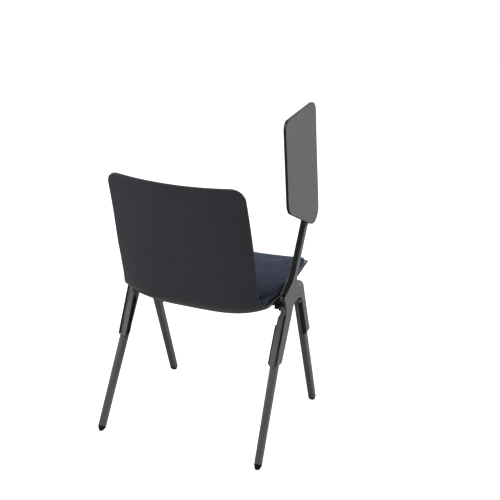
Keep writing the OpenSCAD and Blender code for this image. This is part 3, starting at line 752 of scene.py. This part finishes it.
NODE_LOOKS = {
    "powder_coat": ["right_side_frame", "left_side_frame"],
    "leg_coat": ["front_leg_right", "rear_leg_right", "front_leg_left", "rear_leg_left"],
    "glide_plastic": ["front_glides", "rear_glides", "arm_strip"],
    "plug_plastic": ["link_plugs"],
    "bar_coat": ["front_cross_bar", "rear_cross_bar", "tablet_bracket"],
    "shell_plastic": ["shell_bosses"],
    "black_rubber": ["shell_spacers", "stacking_buffers", "stow_bumper", "rest_bumper",
                     # leg_liners are black sleeves between the legs and the castings; their black
                     # stands in for the shade in that gap, a painted shadow.
                     "leg_liners", "stacking_strips"],
    "dark_steel": ["shell_screws", "leg_screws", "cross_bar_screws", "tablet_screws",
                   "retaining_ring"],
    "tablet_laminate": ["tablet_top"],
    "insert_brass": ["tablet_inserts"],
    "pin_steel": ["hinge_pin", "friction_washers"],
    "bush_plastic": ["hinge_bushes"],
}
smoother = smooth_group(SMOOTH_ANGLE)
for look, names in NODE_LOOKS.items():
    for node_name in names:
        node_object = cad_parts[node_name]
        paint(node_object, MATERIALS[look])
        node_object.modifiers.new("smooth", "NODES").node_group = smoother

shell = build_shell()
paint(shell, MATERIALS["shell_plastic"])
seat_cover, back_cover = build_covers()
cover_tree = tree_of(seat_cover, back_cover)
cord = build_seam_cord()
stitches = [build_stitches(cover_tree, "seat_stitches", -STITCH_ROW),
            build_stitches(cover_tree, "back_stitches", STITCH_ROW)]
for cover in (seat_cover, back_cover):
    paint(cover, FABRIC)
    subdivide(cover)
paint(cord, twisted("cord_thread", srgb("2c3140")))
thread = twisted("sewing_thread", srgb("4d5364"))
for row in stitches:
    paint(row, thread)

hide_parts("seat_shell")
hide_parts("seat_pad")
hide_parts("back_pad")
for piece in (shell, seat_cover, back_cover, cord, *stitches):
    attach(piece, "chair")

# ---- Floor, light and camera ----

FLOOR_SIZE = 14  # half the floor's side, in metres
AIM = (0.05, 0.0, 0.5)
AMBIENT = 0.06
LIGHTS = {  # place, width and height, watts
    "key_right": ((3.0, 1.2, 1.4), (0.7, 0.9), 82),
    "top_soft": ((0.2, -1.6, 2.9), (1.3, 1.3), 58),
    "left_fill": ((-2.1, -1.1, 1.7), (1.2, 1.6), 40),
    "front_fill": ((-0.9, 3.2, 1.3), (1.8, 1.8), 26),
}
CAMERA_PLACE, CAMERA_AIM = (1.353, -2.672, 1.693), (0.1244, 0, 0.5528)
LENS, SENSOR = 79.9, 36


def backdrop_white(name, colour, glow):
    """Pale floor that stays evenly bright to the camera and throws little light back up."""
    n = Nodes(name)
    place = n.add("ShaderNodeTexCoord").outputs["Object"]
    tint = n.mix(n.noise(place, 1.5, 2.0), shade(colour, 0.985), colour)
    camera_ray = n.add("ShaderNodeLightPath").outputs["Is Camera Ray"]
    n.feed(n.bsdf.inputs["Base Color"], n.mix(camera_ray, shade(colour, 0.45), shade(colour, 0.55)))
    n.bsdf.inputs["Roughness"].default_value = 0.9
    n.bsdf.inputs["Specular IOR Level"].default_value = 0.1
    n.feed(n.bsdf.inputs["Emission Color"], tint)
    n.feed(n.bsdf.inputs["Emission Strength"], n.math("MULTIPLY", camera_ray, glow))
    return n.mat


def build_floor():
    """Plain floor, which isn't part of the chair."""
    bm = bmesh.new()
    bmesh.ops.create_grid(bm, x_segments=1, y_segments=1, size=FLOOR_SIZE)
    floor = new_object("floor", mesh_from_bmesh("floor", bm, False))
    paint(floor, backdrop_white("floor_white", srgb("fcfcfb"), 1.0))


def point_at(obj, place, target):
    """Puts a light or camera at the place, facing the target."""
    obj.location = place
    obj.rotation_euler = (Vector(target) - Vector(place)).to_track_quat("-Z", "Y").to_euler()
    bpy.context.scene.collection.objects.link(obj)


def area_light(name, place, size, power):
    """White panel that faces the chair."""
    lamp = bpy.data.lights.new(name, "AREA")
    lamp.shape = "RECTANGLE"
    lamp.size, lamp.size_y = size
    lamp.energy = power
    point_at(bpy.data.objects.new(name, lamp), place, AIM)


def studio_world(ambient):
    """White background to the camera, and a weak even light on the chair."""
    world = bpy.data.worlds.new("studio")
    bpy.context.scene.world = world
    world.use_nodes = True
    tree = world.node_tree
    tree.nodes.clear()
    choose = tree.nodes.new("ShaderNodeMixShader")
    path = tree.nodes.new("ShaderNodeLightPath")
    tree.links.new(path.outputs["Is Camera Ray"], choose.inputs[0])
    for socket, strength in ((choose.inputs[1], ambient), (choose.inputs[2], 1.0)):
        white = tree.nodes.new("ShaderNodeBackground")
        white.inputs["Color"].default_value = (1, 1, 1, 1)
        white.inputs["Strength"].default_value = strength
        tree.links.new(white.outputs[0], socket)
    world_out = tree.nodes.new("ShaderNodeOutputWorld")
    tree.links.new(choose.outputs[0], world_out.inputs[0])


def scene_camera():
    """Camera behind the chair's right side, looking slightly down."""
    data = bpy.data.cameras.new("camera")
    data.lens = LENS
    data.sensor_width = SENSOR
    camera = bpy.data.objects.new("camera", data)
    point_at(camera, CAMERA_PLACE, CAMERA_AIM)
    bpy.context.scene.camera = camera


build_floor()
for light_name, (light_place, light_size, watts) in LIGHTS.items():
    area_light(light_name, light_place, light_size, watts)
studio_world(AMBIENT)
scene_camera()
bpy.context.scene.view_settings.view_transform = "Standard"
